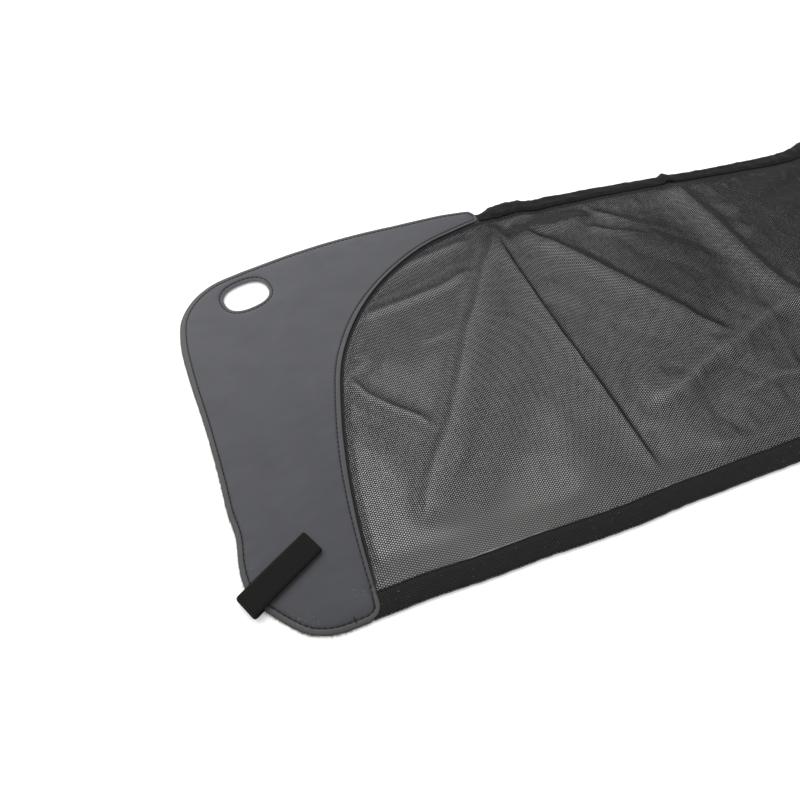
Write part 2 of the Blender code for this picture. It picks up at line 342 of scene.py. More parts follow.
def tubes(centres, across, up, radius, sides=6):
    """Closed round tubes: `centres` is tubes x rings x 3, and the rings lie in `across` and `up`."""
    count, rings = centres.shape[:2]
    turn = np.arange(sides) / sides * math.tau
    radius = np.broadcast_to(radius, (count, rings))[:, :, None, None]
    ring = across[:, :, None] * np.cos(turn)[:, None] + up[:, :, None] * np.sin(turn)[:, None]
    points = centres[:, :, None] + ring * radius
    one = grid_faces(rings, sides, closed_columns=True)
    each = np.arange(count)[:, None, None] * rings * sides
    faces = (one[None] + each).reshape(-1, 4).tolist()
    for start in range(0, count * rings * sides, rings * sides):
        faces.append(list(range(start + sides - 1, start - 1, -1)))
        faces.append(list(range(start + (rings - 1) * sides, start + rings * sides)))
    return points.reshape(-1, 3), faces


def sleeve_piece(sleeve, name, points, faces, material, *nodes, slot=None, rides=True):
    """A piece made in the left sleeve's coordinates, mirrored for the right one, that stands for nodes."""
    points = np.array(points, float)
    if sleeve.flip:
        points[:, 0] *= -1
        faces = [face[::-1] for face in faces]
    made = new_object(f"{sleeve.side}_{name}", points, faces, material, slot)
    if rides:
        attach(made, sleeve.body)
    if nodes:
        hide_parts(*[f"{sleeve.side}_{node}" for node in nodes])
    return made


# Heights of the soft surfaces

class Sleeve:
    """Outlines and heights of one end sleeve, all in the left sleeve's coordinates."""

    def __init__(self, side):
        self.side = side
        self.flip = side == "right"
        self.body = f"{side}_end"
        outline, window = top_loops("left_front_ply")
        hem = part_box("left_end_bottom_hem")
        corner = np.array([hem[0].x, hem[1].y]) / MM
        tip = outline[np.argmax(outline[:, 0])]
        self.outline = rounded(outline, 1.3, closed=True)
        pull = PINCH * gauss(np.hypot(*(self.outline - PINCHED).T) / PINCH_REACH)
        self.outline[:, 0] += pull * (self.outline[:, 0] < PINCHED[0] + PINCH_REACH)
        self.window = rounded(window, 1.2, closed=True)
        self.inner = chain(self.outline, corner, tip)
        self.outer = chain(self.outline, tip, corner)
        self.turn = np.array(JOINTS["left_strap_turn"]["pos_m"]) / MM
        self.seed = 40 if self.flip else 20

    def lift(self, points):
        """How far the sleeve stands off the floor in soft waves, calmer near the strap."""
        x, y = np.asarray(points).T[:2]
        calm = smooth(np.hypot(x - self.turn[0], y - self.turn[1]) / 150)
        waved = 0.9 + 0.6 * waves(x, y, self.seed, 120) + 0.12 * waves(x, y, self.seed + 1, 45)
        return np.maximum(waved, 0) * (0.25 + 0.75 * calm) + 1.4 * smooth((x + 330) / 90)

    def seam_inset(self, points):
        """How far inside the outer edge its seam runs."""
        x, y = np.asarray(points).T[:2]
        wide = smooth((-235 - x) / 60)
        corner = gauss(np.hypot(x + 545, y - 105) / 60)
        return TIP_SEAM + (OUTER_SEAM - TIP_SEAM) * wide + (CORNER_SEAM - OUTER_SEAM) * corner

    def net_seam_inset(self, points):
        """How far inside the inner curve its seam runs."""
        y = np.asarray(points)[:, 1]
        return NET_SEAM + (MIDDLE_NET_SEAM - NET_SEAM) * smooth((y + 150) / 90) * smooth((130 - y) / 60)

    def heights(self, points):
        """Top and bottom of the front ply, the same of the back ply, and the share of border."""
        points = np.asarray(points)[:, :2]
        outer = distance_to(points, self.outer)
        inner = distance_to(points, self.inner)
        window = distance_to(points, self.window, closed=True)
        inset = self.seam_inset(points)
        net_inset = self.net_seam_inset(points)
        lift = self.lift(points)
        low = FRONT_LOW - 0.95 * gauss(outer / 6) - 1.0 * gauss(window / 5) - 0.25 * gauss(inner / 4)
        top = low + PLY + 0.05 * waves(points[:, 0], points[:, 1], self.seed + 2, 14)
        top -= 0.5 * gauss((outer - inset) / 0.9) + 0.5 * gauss((inner - net_inset) / 0.7)
        top -= 0.45 * gauss((window - WINDOW_SEAM) / 0.7)
        top += 0.3 * gauss(distance_to(points, LEATHER_CREASE) / 6)
        # The share of border is where the leatherette gets its painted highlight
        border = np.maximum(smooth((inset - outer) / 0.8), 0.6 * smooth((net_inset - inner) / 0.8))
        return (top + lift, low + lift), (BACK_TOP + lift, lift + 0.02), border


SLEEVES = {side: Sleeve(side) for side in ("left", "right")}


class Hem:
    """A soft tube of net: its folded outer edge, its stitched inner edge, and the section between.

    `way` is 1 where the outer edge is the upper one and -1 where it is the lower one.
    """

    def __init__(self, kind, way, width, height, tuck):
        self.kind, self.way = kind, way
        self.edge = rounded(hem_edge(kind, way), 4)
        self.width_at, self.height_at, self.tuck = width, height, tuck
        across = 1 - (1 - np.linspace(0, 1, 120)) ** 2
        rise = self.section(across)
        along = lengths_along(np.column_stack([across * 16, rise * 2.2]))
        self.across_at = (along / along[-1], across)
        self.around = 2 * along[-1]

    @staticmethod
    def section(across):
        """Half the tube's height, from the stitched edge (0) to the folded edge (1)."""
        full = smooth(across / 0.32) * 0.85 + 0.15
        return full * (1 - np.clip((across - 0.45) / 0.55, 0, 1) ** 2.6) ** 0.5

    def width(self, x):
        return np.interp(np.abs(x) if self.way < 0 else x, *np.transpose(self.width_at))

    def outer(self, x):
        line = np.interp(x, self.edge[:, 0], self.edge[:, 1])
        if self.way < 0:
            line = line - 2.3 * gauss((np.abs(x) - 258) / 45) + 1.5 * gauss((np.abs(x) - 418) / 26)
            return line + 0.35 * waves(x, 0, 71, 60) + 0.12 * waves(x, 0, 72, 9)
        gather = 0.25 + 0.5 * smooth((np.abs(x) - 90) / 100)
        line = line + 0.4 + gather * (0.9 * waves(x, 0, 73, 26) + 0.5 * waves(x, 0, 74, 8))
        line -= 3.5 * bump((np.abs(x) - 220) / 12)
        return line + 2.6 * bump((x - 4) / 8)

    def inner(self, x):
        return self.outer(x) - self.way * self.width(x)

    def surface(self, x, share, inset=0.0, slim=1.0):
        """Points of the tube: share 0..0.5 runs out along the underside, 0.5..1 back over the top."""
        w = 1 - np.abs(2 * share - 1)
        across = np.interp(w, *self.across_at) * (1 - inset)
        tucked = smooth((self.tuck[0] - np.abs(x)) / (self.tuck[0] - self.tuck[1]))
        tall = np.interp(np.abs(x), *np.transpose(self.height_at)) * tucked + 0.4 * (1 - tucked)
        tall = tall * (1 + 0.12 * waves(x, across * 14, 75, 11) * tucked)
        centre = NET_AT_SLEEVE + (np.maximum(tall + 0.15, NET_AT_SLEEVE) - NET_AT_SLEEVE) * \
            smooth(across / 0.35) * tucked
        if self.way > 0:
            centre = centre + 1.6 * bump((x - 4) / 9)
        rise = tall * self.section(across) * slim
        z = centre + np.where(share > 0.5, rise, -rise)
        return np.column_stack([x, self.inner(x) + self.way * self.width(x) * across, z])


TOP_HEM = Hem(
    "top_hem", 1,
    width=[(-233, 9), (-220, 12), (-205, 20), (-130, 17), (-70, 15.5), (0, 14.5), (50, 14.5),
           (110, 16), (170, 18), (205, 20), (220, 12), (233, 9)],
    height=[(0, 1.8), (100, 1.9), (180, 2.3), (205, 2.3), (218, 1.9), (233, 0.9)],
    tuck=(236, 226),
)
BOTTOM_HEM = Hem(
    "bottom_hem", -1,
    width=[(0, 19.3), (452, 19.3)],
    height=[(0, 1.35), (440, 1.35)],
    tuck=(463, 450),
)


# Wrinkles of the net: points along the crest, height, and width to the left and right of its path
MIDDLE_CREASE = [(3, 150), (7, 115), (10, 75), (12, 25), (15, -15), (23, -42), (38, -75)]
MIDDLE_WRINKLES = [
    (MIDDLE_CREASE, 5.5, 6, 17),
    (MIDDLE_CREASE, 4.0, 70, 17),
    ([(-190, -102), (-145, -94), (-104, -78), (-60, -66), (-20, -53), (20, -46), (40, -42)], 7.5, 13, 9),
    ([(-200, 146), (-179, 115), (-153, 75), (-129, 35), (-105, -5), (-84, -40), (-64, -64)], 5.0, 6, 17),
    ([(-179, 115), (-153, 75), (-129, 35), (-105, -5), (-84, -40)], 3.5, 70, 17),
    ([(-190, 138), (-165, 127), (-135, 125), (-105, 131)], 6.5, 14, 7),
    ([(-108, 140), (-84, 115), (-60, 92), (-35, 80)], 2.6, 5, 7),
    ([(-130, 118), (-95, 96), (-62, 74)], 1.8, 4, 6),
    ([(25, 75), (70, 92), (120, 108), (175, 124)], 4.5, 16, 9),
    ([(22, 38), (60, 58), (100, 68), (150, 66)], 3.4, 12, 8),
    ([(-100, -118), (-55, -114), (-10, -122)], 2.2, 8, 5),
    ([(-170, -150), (-120, -160), (-70, -156)], 2.0, 7, 5),
    ([(45, -95), (90, -60), (150, -45), (190, -50)], 4.0, 14, 9),
]
END_WRINKLES = [
    ([(-222, 140), (-218, 60), (-216, 0), (-213, -60), (-211, -120), (-210, -168)], 2.8, 2.4, 10),
    ([(-224, 158), (-216, 135), (-210, 105)], 5.0, 7, 6),
    ([(-178, 158), (-195, 150), (-208, 143)], 2.8, 3, 3),
    ([(-216, 146), (-231, 117), (-245, 100), (-262, 74), (-278, 50), (-294, 30), (-306, 10), (-318, -10),
      (-331, -31), (-348, -58), (-372, -87), (-390, -112), (-404, -142)], 6.4, 26, 7),
    ([(-392, 72), (-355, 76), (-322, 80), (-290, 86), (-255, 102)], 5.0, 9, 8),
    ([(-412, 36), (-395, 26), (-428, 10)], 2.0, 6, 6),
    ([(-350, 26), (-322, 28), (-300, 36)], 2.2, 8, 6),
    ([(-420, 20), (-410, -8), (-392, -30), (-372, -50), (-362, -70)], 4.0, 5, 6),
    ([(-440, 2), (-443, -30), (-446, -60)], 2.4, 5, 5),
    ([(-365, 108), (-330, 122), (-290, 130), (-240, 140)], 3.4, 9, 7),
    ([(-340, -72), (-354, -90), (-372, -104)], 1.6, 6, 6),
]
# Places where the net stands clear of the floor: centre, half-widths and height
PLATEAUS = [
    ((-60, 45), (50, 80), 3.0), ((105, 35), (85, 95), 3.4), ((-60, -20), (45, 35), 2.0),
    ((-150, 0), (60, 100), 1.4), ((-232, -60), (28, 90), 1.2),
]
# Places where the net is slack and its holes close: centre, half-widths and share
SLACK = [
    ((-62, 40), (50, 85), 0.12), ((112, 40), (95, 105), 0.14), ((-165, 133), (64, 10), 0.18),
    ((-222, 136), (20, 26), 0.12),
]
GRID = 2.0                  # spacing of the heights' grid
TALLEST = 11.0              # what the heights level off at


def mirrored_wrinkle(wrinkle):
    crest, height, left, right = wrinkle
    return [(-x, y) for x, y in crest], height, right, left


def add_wrinkle(height, x, y, wrinkle):
    """Adds a crest that falls off on each side and fades out at its ends."""
    crest, tall, left, right = wrinkle
    path = rounded(crest, 6)
    along = lengths_along(path)
    best = np.full(x.shape, 1e9)
    signed, at = np.zeros(x.shape), np.zeros(x.shape)
    for a, b, start in zip(path, path[1:], along):
        way = b - a
        length = np.linalg.norm(way)
        t = np.clip(((x - a[0]) * way[0] + (y - a[1]) * way[1]) / length**2, 0, 1)
        gap_x, gap_y = x - a[0] - t * way[0], y - a[1] - t * way[1]
        gap = np.hypot(gap_x, gap_y)
        closer = gap < best
        side = np.sign(way[0] * gap_y - way[1] * gap_x)
        best = np.where(closer, gap, best)
        signed = np.where(closer, side * gap, signed)
        at = np.where(closer, start + t * length, at)
    width = np.where(signed > 0, left, right)
    fade = smooth(at / 22) * smooth((along[-1] - at) / 28)
    height += tall * fade * np.exp(-(np.abs(signed) / width) ** 1.5)


def net_field():
    """The net's height on a grid over the whole screen."""
    xs = np.arange(-480, 480 + GRID, GRID)
    ys = np.arange(-196, 196 + GRID, GRID)
    x, y = np.meshgrid(xs, ys, indexing="ij")
    height = np.zeros(x.shape)
    for wrinkle in MIDDLE_WRINKLES + END_WRINKLES + [mirrored_wrinkle(w) for w in END_WRINKLES]:
        add_wrinkle(height, x, y, wrinkle)
    for (cx, cy), (rx, ry), tall in PLATEAUS:
        away = np.hypot((x - cx) / rx, (y - cy) / ry)
        height += tall * (1 - smooth(away / 1.25))
    loose = 0.15 + 0.85 * smooth((x + 320) / 200)
    height += loose * (1.4 * np.maximum(waves(x, y, 3, 75), 0) + 0.3 * np.maximum(waves(x, y, 4, 20), 0))
    height = FLOOR_CLEAR + TALLEST * np.tanh(height / TALLEST)
    points = np.column_stack([x.ravel(), y.ravel()])
    for sleeve in SLEEVES.values():
        own = points * (-1 if sleeve.flip else 1, 1)
        near = np.flatnonzero(own[:, 0] < -210)
        gap = distance_to(own[near], sleeve.inner)
        gap[inside(own[near], sleeve.outline)] = 0
        share = 1 - smooth(gap / 9)
        lifted = NET_AT_SLEEVE + sleeve.lift(own[near])
        flat = height.reshape(-1)
        flat[near] = flat[near] * (1 - share) + lifted * share
    for hem, reach in ((TOP_HEM, 10), (BOTTOM_HEM, 24)):
        gap = (hem.inner(x[:, 0])[:, None] - y) * hem.way
        share = 1 - smooth(gap / reach)
        height = height * (1 - share) + NET_AT_SLEEVE * share
    return xs, ys, height


NET_X, NET_Y, NET_HEIGHT = net_field()


def net_height(x, y):
    """The net's height at the points, read off the grid."""
    u = np.clip((x - NET_X[0]) / GRID, 0, len(NET_X) - 1.001)
    v = np.clip((y - NET_Y[0]) / GRID, 0, len(NET_Y) - 1.001)
    i, j = u.astype(int), v.astype(int)
    u, v = u - i, v - j
    low = NET_HEIGHT[i, j] * (1 - u) + NET_HEIGHT[i + 1, j] * u
    high = NET_HEIGHT[i, j + 1] * (1 - u) + NET_HEIGHT[i + 1, j + 1] * u
    return low * (1 - v) + high * v


# Knitted net: strands round hexagonal holes

def knit(kept, first_column):
    """Corners and faces of the strands between the holes marked in `kept`, numbered column by column.

    Returns each corner's hole centre, its place from there, its depth below the face, and the faces.
    Each hole has six corners on the face and six below them, each pair of neighbouring holes has one
    strand between them, and each three neighbours one knot. The walls give the strands thickness.
    """
    columns, rows = kept.shape
    i, j = np.meshgrid(np.arange(columns), np.arange(rows), indexing="ij")
    odd = (i + first_column) % 2
    number = np.where(kept, np.cumsum(kept).reshape(kept.shape) - 1, -1)
    u = (i + first_column) * COLUMN
    v = (j + odd / 2) * PITCH
    turn = np.arange(6) * math.pi / 3
    centre = np.column_stack([u[kept], v[kept]]).repeat(12, axis=0)
    ring = np.column_stack([np.cos(turn), np.sin(turn)]) * HOLE
    place = np.tile(np.vstack([ring, ring * 0.9]), (kept.sum(), 1))
    relief = RELIEF * np.array([1, -1, -1, 1, -1, -1])
    depth = np.tile(np.concatenate([-relief, np.full(6, YARN)]), kept.sum())

    def beside(di, dj):
        a, b = i + di, j + dj
        good = (a >= 0) & (a < columns) & (b >= 0) & (b < rows)
        found = np.full(kept.shape, -1)
        found[good] = number[a[good], b[good]]
        return found

    north = beside(0, 1)
    east_up = np.where(odd == 1, beside(1, 1), beside(1, 0))
    east_down = np.where(odd == 1, beside(1, 0), beside(1, -1))
    faces = []
    for holes, order in (
        ((number, north), ((0, 2), (0, 1), (1, 5), (1, 4))),
        ((number, east_up), ((0, 0), (1, 4), (1, 3), (0, 1))),
        ((number, east_down), ((0, 5), (1, 3), (1, 2), (0, 0))),
        ((number, north, east_up), ((0, 1), (2, 3), (1, 5))),
        ((number, east_up, east_down), ((0, 0), (2, 2), (1, 4))),
    ):
        good = np.all([h >= 0 for h in holes], axis=0)
        good[-1] = False
        faces.append(np.stack([holes[k][good] * 12 + corner for k, corner in order], -1))
    start = number[:-1][kept[:-1]] * 12
    for side in range(6):
        beyond = (side + 1) % 6
        faces.append(np.stack([start + side, start + beyond, start + beyond + 6, start + side + 6], -1))
    return centre, place, depth, [group for group in faces if len(group)]


def columns_between(low, high):
    """First column and number of columns that cover low to high, with one shared with the next piece."""
    first = math.ceil(low / COLUMN)
    return first, math.ceil(high / COLUMN) - first + 1


def net_piece(name, low, high):
    """One piece of the screen's net, between two places along X."""
    first, columns = columns_between(low, high)
    u = (np.arange(columns) + first) * COLUMN
    x, y = np.meshgrid(u, np.arange(NET_ROWS) * PITCH + NET_BASE, indexing="ij")
    kept = (y < TOP_HEM.inner(u)[:, None] + 2) & (y > BOTTOM_HEM.inner(u)[:, None] - 2)
    points = np.column_stack([-np.abs(x.ravel()), y.ravel()])
    far = np.flatnonzero(points[:, 0] < -205)
    sleeve = SLEEVES["left"]
    own = points[far]
    beyond = inside(own, sleeve.outline) | (own[:, 0] < -446)
    hidden = np.zeros(len(points), bool)
    hidden[far] = beyond & (distance_to(own, sleeve.inner) > 9)
    kept &= ~hidden.reshape(kept.shape)
    centre, place, depth, faces = knit(kept, first)
    centre[:, 1] += NET_BASE
    return new_object(name, draped(centre, place, depth), faces, "net")


def slack(x, y):
    """How far the holes have closed, where the net hangs slack or is doubled under the top hem's seam."""
    closed = np.zeros(x.shape)
    for (cx, cy), (rx, ry), most in SLACK:
        away = np.hypot((x - cx) / rx, (y - cy) / ry)
        closed = np.maximum(closed, most * (1 - smooth((away - 0.6) / 0.6)))
    gap = TOP_HEM.inner(x) - y
    return np.maximum(closed, 0.7 * smooth((3.4 - gap) / 1.4))


def draped(centre, place, depth):
    """Corners of holes laid on the net's surface: tilted with it, and foreshortened where it is steep."""
    step = 1.0
    x, y = centre.T
    place = place * (1 - slack(x, y))[:, None]
    slope = np.column_stack([
        net_height(x + step, y) - net_height(x - step, y),
        net_height(x, y + step) - net_height(x, y - step),
    ]) / (2 * step)
    steep = np.linalg.norm(slope, axis=1)
    level = 1 / np.sqrt(1 + steep**2)
    way = slope / np.maximum(steep, 1e-9)[:, None]
    place = place - way * (np.sum(place * way, axis=1) * (1 - level))[:, None]
    flat = centre + place
    up = np.column_stack([-slope * level[:, None], level])
    return np.column_stack([flat, net_height(*flat.T)]) - up * depth[:, None]


def hem_skin(hem, low, high):
    """The net that is wrapped round a hem, between two places along X."""
    first, columns = columns_between(low, high)
    rows = int(hem.around / PITCH)
    centre, place, depth, faces = knit(np.ones((columns, rows), bool), first)
    u, v = (centre + place).T
    share = np.clip((v + PITCH / 2) / ((rows + 0.5) * PITCH), 0, 1)
    points = hem.surface(u, share)
    points[:, 2] -= depth * 0.5 * np.where(share > 0.5, 1, -1)
    return points, faces


def hem_core(hem, low, high):
    """The elastic or tape that fills a hem, a closed strip a little smaller than the net round it."""
    count = int((high - low) / 2.5) + 1
    share = np.concatenate([np.linspace(0.02, 0.48, 12), np.linspace(0.52, 0.98, 12)])
    x = np.repeat(np.linspace(low, high, count), len(share))
    points = hem.surface(x, np.tile(share, count), inset=0.05, slim=0.72)
    return points, [face[::-1] for face in capped_faces(count, len(share))]


# Stitches

def stitches(path, height, pitch, radius=THREAD, dots=0.0):
    """Lockstitches along a path: each is a short thread that dives into the fabric at both ends.

    `height` gives the fabric's height at points in the plane. `dots` is the radius of the dark
    needle hole at each end, or 0 for none.
    """
    length = lengths_along(path)[-1]
    count = int(length / pitch)
    t = np.linspace(-1, 1, 9)
    middle = (np.arange(count) + 0.5) * length / count
    flat = sampled(path, middle[:, None] + t * 0.46 * pitch)
    z = height(flat.reshape(-1, 2)).reshape(flat.shape[:2]) + radius * 0.75 - 3.0 * radius * np.abs(t) ** 5
    centres = np.concatenate([flat, z[:, :, None]], axis=2)
    way = np.gradient(flat, axis=1)
    way /= np.linalg.norm(way, axis=2)[:, :, None]
    across = np.stack([-way[:, :, 1], way[:, :, 0], np.zeros(z.shape)], -1)
    up = np.broadcast_to([0.0, 0.0, 1.0], across.shape)
    points, faces = tubes(centres, across, up, radius * (1 - 0.35 * np.abs(t) ** 4))
    if dots:
        foot = sampled(path, middle - length / count / 2)
        rise = np.array([[0, 0, -0.5], [0, 0, 0.05], [0, 0, 0.1]])
        centres = np.column_stack([foot, height(foot)])[:, None] + rise
        across = np.broadcast_to([1.0, 0.0, 0.0], centres.shape)
        up = np.broadcast_to([0.0, 1.0, 0.0], centres.shape)
        more, more_faces = tubes(centres, across, up, dots * np.array([1, 1, 0.6]))
        faces += [[i + len(points) for i in face] for face in more_faces]
        points = np.vstack([points, more])
    return points, faces


def hem_stitches(hem, low, high):
    """The lockstitch that closes a hem, between two places along X."""
    x = np.arange(low, high + 0.1, 0.5)
    path = np.column_stack([x, hem.inner(x) + hem.way * 1.6])
    share = 1 - 0.5 * 1.6 / hem.width(0)

    def height(points):
        return hem.surface(points[:, 0], np.full(len(points), share))[:, 2]

    return stitches(path, height, HEM_STITCH, radius=0.46)


# Sleeves

def sheet(rims, rings, spacing):
    """Points over a flat sheet and its triangles: its rims first, then rings inside them, then a grid.

    Returns the points, the triangles, and how many of the points lie on the rims.
    """
    inner = []
    for distance in rings:
        for rim in rims:
            moved = moved_in(rim, distance)
            inner.append(moved[rim_gap(moved, rims) > distance * 0.97])
    low, high = rims[0].min(0), rims[0].max(0)
    xs, ys = np.arange(low[0], high[0], spacing), np.arange(low[1], high[1], spacing)
    x, y = np.meshgrid(xs, ys)
    x = x + (np.arange(len(ys)) % 2)[:, None] * spacing / 2
    grid = np.column_stack([x.ravel(), y.ravel()])
    grid = grid[within(grid, rims)]
    inner.append(grid[rim_gap(grid, rims) > rings[-1] + spacing / 2])
    points = np.vstack(rims + inner)
    edges, start = [], 0
    for rim in rims:
        numbers = list(range(start, start + len(rim)))
        edges += list(zip(numbers, numbers[1:] + numbers[:1]))
        start += len(rim)
    found = delaunay_2d_cdt([Vector(p) for p in points], edges, [], 0, 1e-6)
    triangles = np.array([face for face in found[2] if len(face) == 3])
    placed = np.array([tuple(p) for p in found[0]])
    triangles = triangles[within(placed[triangles].mean(1), rims)]
    a, b, c = placed[triangles].transpose(1, 0, 2)
    area = (b[:, 0] - a[:, 0]) * (c[:, 1] - a[:, 1]) - (b[:, 1] - a[:, 1]) * (c[:, 0] - a[:, 0])
    triangles[area < 0] = triangles[area < 0][:, ::-1]
    return placed, triangles, start


def closed_ply(flat, triangles, rim_count, rims, top, bottom, radius):
    """A closed sheet between two heights, with its edge rounded over `radius`."""
    half = (top - bottom) / 2
    fall = half * (1 - np.sqrt(1 - (1 - np.clip(rim_gap(flat, rims) / radius, 0, 1)) ** 2))
    fall[:rim_count] = half[:rim_count]
    upper = np.column_stack([flat, top - fall])
    lower = np.column_stack([flat, bottom + fall])[rim_count:]
    number = np.arange(len(flat))
    number[rim_count:] += len(flat) - rim_count
    faces = triangles.tolist() + number[triangles][:, ::-1].tolist()
    return np.vstack([upper, lower]), faces


def ply(sleeve, side, name, node, rims, rings, spacing, radius):
    """One ply of a sleeve: side 0 is the leatherette face, and side 1 the backing."""
    flat, triangles, rim_count = sheet(rims, rings, spacing)
    *sides, border = sleeve.heights(flat)
    mesh = closed_ply(flat, triangles, rim_count, rims, *sides[side], radius)
    made = sleeve_piece(sleeve, name, *mesh, ("leatherette", "knit_backing")[side], node)
    # Darkening of the backing near the inner curve: partly its dark edge, partly painted shade
    dark = 1 - smooth(distance_to(flat, sleeve.inner) / 12)
    shade = (border, dark)[side]
    set_field(made, ("border", "dark")[side], np.concatenate([shade, shade[rim_count:]]))
    set_field(made, "cut", cut_edge(sleeve, flat, rim_count))


def cut_edge(sleeve, flat, rim_count):
    """1 on the pale core that shows where the window is cut, for the upper points and then the lower."""
    near = 1 - smooth(distance_to(flat, sleeve.window, closed=True) / 0.5)
    near = np.concatenate([near, near[rim_count:]])
    upper = np.arange(len(near)) < len(flat)
    return near * np.where(upper, smooth((near - 0.55) / 0.4), 1.0)


def back_outline(sleeve):
    """The back ply's outline: a little proud of the front ply, and more along the net."""
    out = 0.8 + 0.12 * waves(sleeve.outline[:, 0], sleeve.outline[:, 1], sleeve.seed + 5, 9)
    inner = 1 - smooth(distance_to(sleeve.outline, sleeve.inner[6:-6]) / 6)
    return sleeve.outline - normals(sleeve.outline, closed=True) * (out + 1.8 * inner)[:, None]


def build_plies(sleeve):
    """The two plies. The rings of points are close together where the seams press into the face."""
    rings = (0.15, 0.45, 0.9, 1.6, 2.3, 2.9, 3.4, 3.9, 4.4, 4.9, 5.6, 6.3, 7.1, 8.0)
    ply(sleeve, 0, "leatherette", "front_ply", [sleeve.outline, sleeve.window], rings, 3.0, 0.6)
    rim = back_outline(sleeve)
    ply(sleeve, 1, "backing", "back_ply", [rim, sleeve.window], (0.2, 0.6, 1.2, 2.5), 4.0, 0.5)
    fringe(sleeve, rim)


def fringe(sleeve, rim):
    """Short fibres that stand out of the back ply's raw edge."""
    random = np.random.RandomState(sleeve.seed + 7)
    edge = chain(rim, sleeve.outer[0], sleeve.outer[-1])
    count = 2600
    at = random.uniform(0, lengths_along(edge)[-1], count)
    foot = sampled(edge, at)
    out = sampled(edge, at, -normals(edge))
    lean = random.normal(0, 0.7, count)
    low = smooth((60 - foot[:, 1]) / 120)
    reach = random.uniform(0.3, 1.0, count) ** 1.5 * (0.7 + 1.3 * low)
    way = np.column_stack([out[:, 0] - out[:, 1] * lean, out[:, 1] + out[:, 0] * lean])
    way /= np.linalg.norm(way, axis=1)[:, None]
    t = np.linspace(-0.15, 1, 4)
    z = sleeve.lift(foot) + random.uniform(0.15, 1.0, count)
    bend = random.normal(0, 0.35, count)
    bend, reach = bend[:, None], reach[:, None]
    x = foot[:, :1] + (way[:, :1] - way[:, 1:] * bend * t) * reach * t
    y = foot[:, 1:] + (way[:, 1:] + way[:, :1] * bend * t) * reach * t
    centres = np.stack([x, y, np.maximum(z[:, None] - 0.3 * t * reach, 0.06)], -1)
    across = np.stack([-way[:, 1], way[:, 0], np.zeros(count)], -1)[:, None].repeat(len(t), 1)
    up = np.broadcast_to([0.0, 0.0, 1.0], across.shape)
    mesh = tubes(centres, across, up, 0.055 * np.array([1, 1, 0.85, 0.4]), sides=3)
    sleeve_piece(sleeve, "raw_edge_fibres", *mesh, "fibre", slot="knit_backing")


def seam_path(sleeve, edge, inset):
    """A line at a distance inside an edge, without the loops that sharp corners would give."""
    moved = edge + normals(edge) * inset[:, None]
    return moved[distance_to(moved, sleeve.outline, closed=True) > inset * 0.96]


def sleeve_seams(sleeve):
    """The seams of a sleeve. The inner one runs on from the end of the outer one at the lower corner."""
    outer = seam_path(sleeve, sleeve.outer, sleeve.seam_inset(sleeve.outer))
    outer = rounded(outer[(outer[:, 0] < -458) | (outer[:, 1] > 0)], 0.5)
    inner = seam_path(sleeve, sleeve.inner, sleeve.net_seam_inset(sleeve.inner))
    inner = rounded(np.vstack([outer[-1:] + (0.6, -0.4), inner]), 0.5)
    ring = moved_in(sleeve.window, WINDOW_SEAM)
    ring = evenly(np.vstack([ring, ring[:1]]), 0.5)

    def height(points):
        return sleeve.heights(points)[0][0]

    for node, path, dots in (
        ("outer_seam", outer, 0.66), ("net_edge_seam", inner, 0.5), ("window_seam", ring, 0.4),
    ):
        mesh = stitches(path, height, STITCH * 0.999, dots=dots)
        sleeve_piece(sleeve, f"{node}_stitches", *mesh, "thread", node)
    for name, line, count, nodes in (
        ("hem_bartack_stitches", BARTACK, 5, ["hem_bartack"]), ("thread_tail", THREAD_TAIL, 1, []),
    ):
        path = rounded(line, 0.5)
        mesh = stitches(path, height, lengths_along(path)[-1] / count * 0.999)
        sleeve_piece(sleeve, name, *mesh, "thread", *nodes)


# Straps

def strap_line():
    """The line half-way between the strap's two plies: from its sewn root, round the turn, to its end."""
    root = [(20 - i, 1.75) for i in range(19)]
    turn = [(-2.3 * math.sin(a), 4.05 - 2.3 * math.cos(a)) for a in np.linspace(0, math.pi, 16)]
    turn[0] = (0.5, 1.77)
    over = [(x, 6.35 + 0.85 * math.sin(math.pi * x / 66) ** 0.9 + x * 0.004) for x in range(2, STRAP_END)]
    return evenly(np.array(root + turn + over), 0.2)


def strap_mesh():
    """The doubled elastic band in its own frame: x along it, y across, z up."""
    line = strap_line()
    along = lengths_along(line)
    side = normals(line)
    far = 1 - smooth((along[-1] - along) / 7)
    thin = 0.42 + 0.58 * smooth((along - 15) / 7)
    half = (STRAP_PLY / 2 + 0.1 + 0.35 * far) * thin
    there = line - side * half[:, None]
    back = (line + side * half[:, None])[::-1]
    turn = np.linspace(-math.pi / 2, math.pi / 2, 9)[1:-1]
    way = np.array([side[-1][1], -side[-1][0]])
    nose = np.array([line[-1] + half[-1] * (way * math.cos(a) + side[-1] * math.sin(a)) for a in turn])
    ply = evenly(np.vstack([there, nose, back]), 0.24)
    length = lengths_along(ply)
    thin = 0.42 + 0.58 * smooth((np.minimum(length, length[-1] - length) - 15) / 7)
    rib = RIB_HEIGHT * (0.5 + 0.5 * np.cos(math.tau * length / RIB)) ** 0.7 * thin
    across = np.linspace(-1, 1, 15)
    edge = (1 - np.abs(across) ** 14) ** 0.5
    half = STRAP_PLY / 2 * thin[:, None] * edge + 0.8 * rib[:, None] * smooth((1 - np.abs(across)) / 0.08)
    out = normals(ply)
    width = STRAP_WIDTH / 2 * (1 + 0.006 * np.cos(math.tau * length / RIB))
    rings = []
    for lift, order in ((half, slice(None)), (-half, slice(-2, 0, -1))):
        x = ply[:, :1] + out[:, :1] * lift
        z = ply[:, 1:] + out[:, 1:] * lift
        y = width[:, None] * across
        rings.append(np.stack([x, y, z], -1)[:, order])
    ring = np.concatenate(rings, axis=1)
    count, size = ring.shape[:2]
    return ring.reshape(-1, 3), capped_faces(count, size), np.repeat(length, size), ring[:, :, 1].ravel()


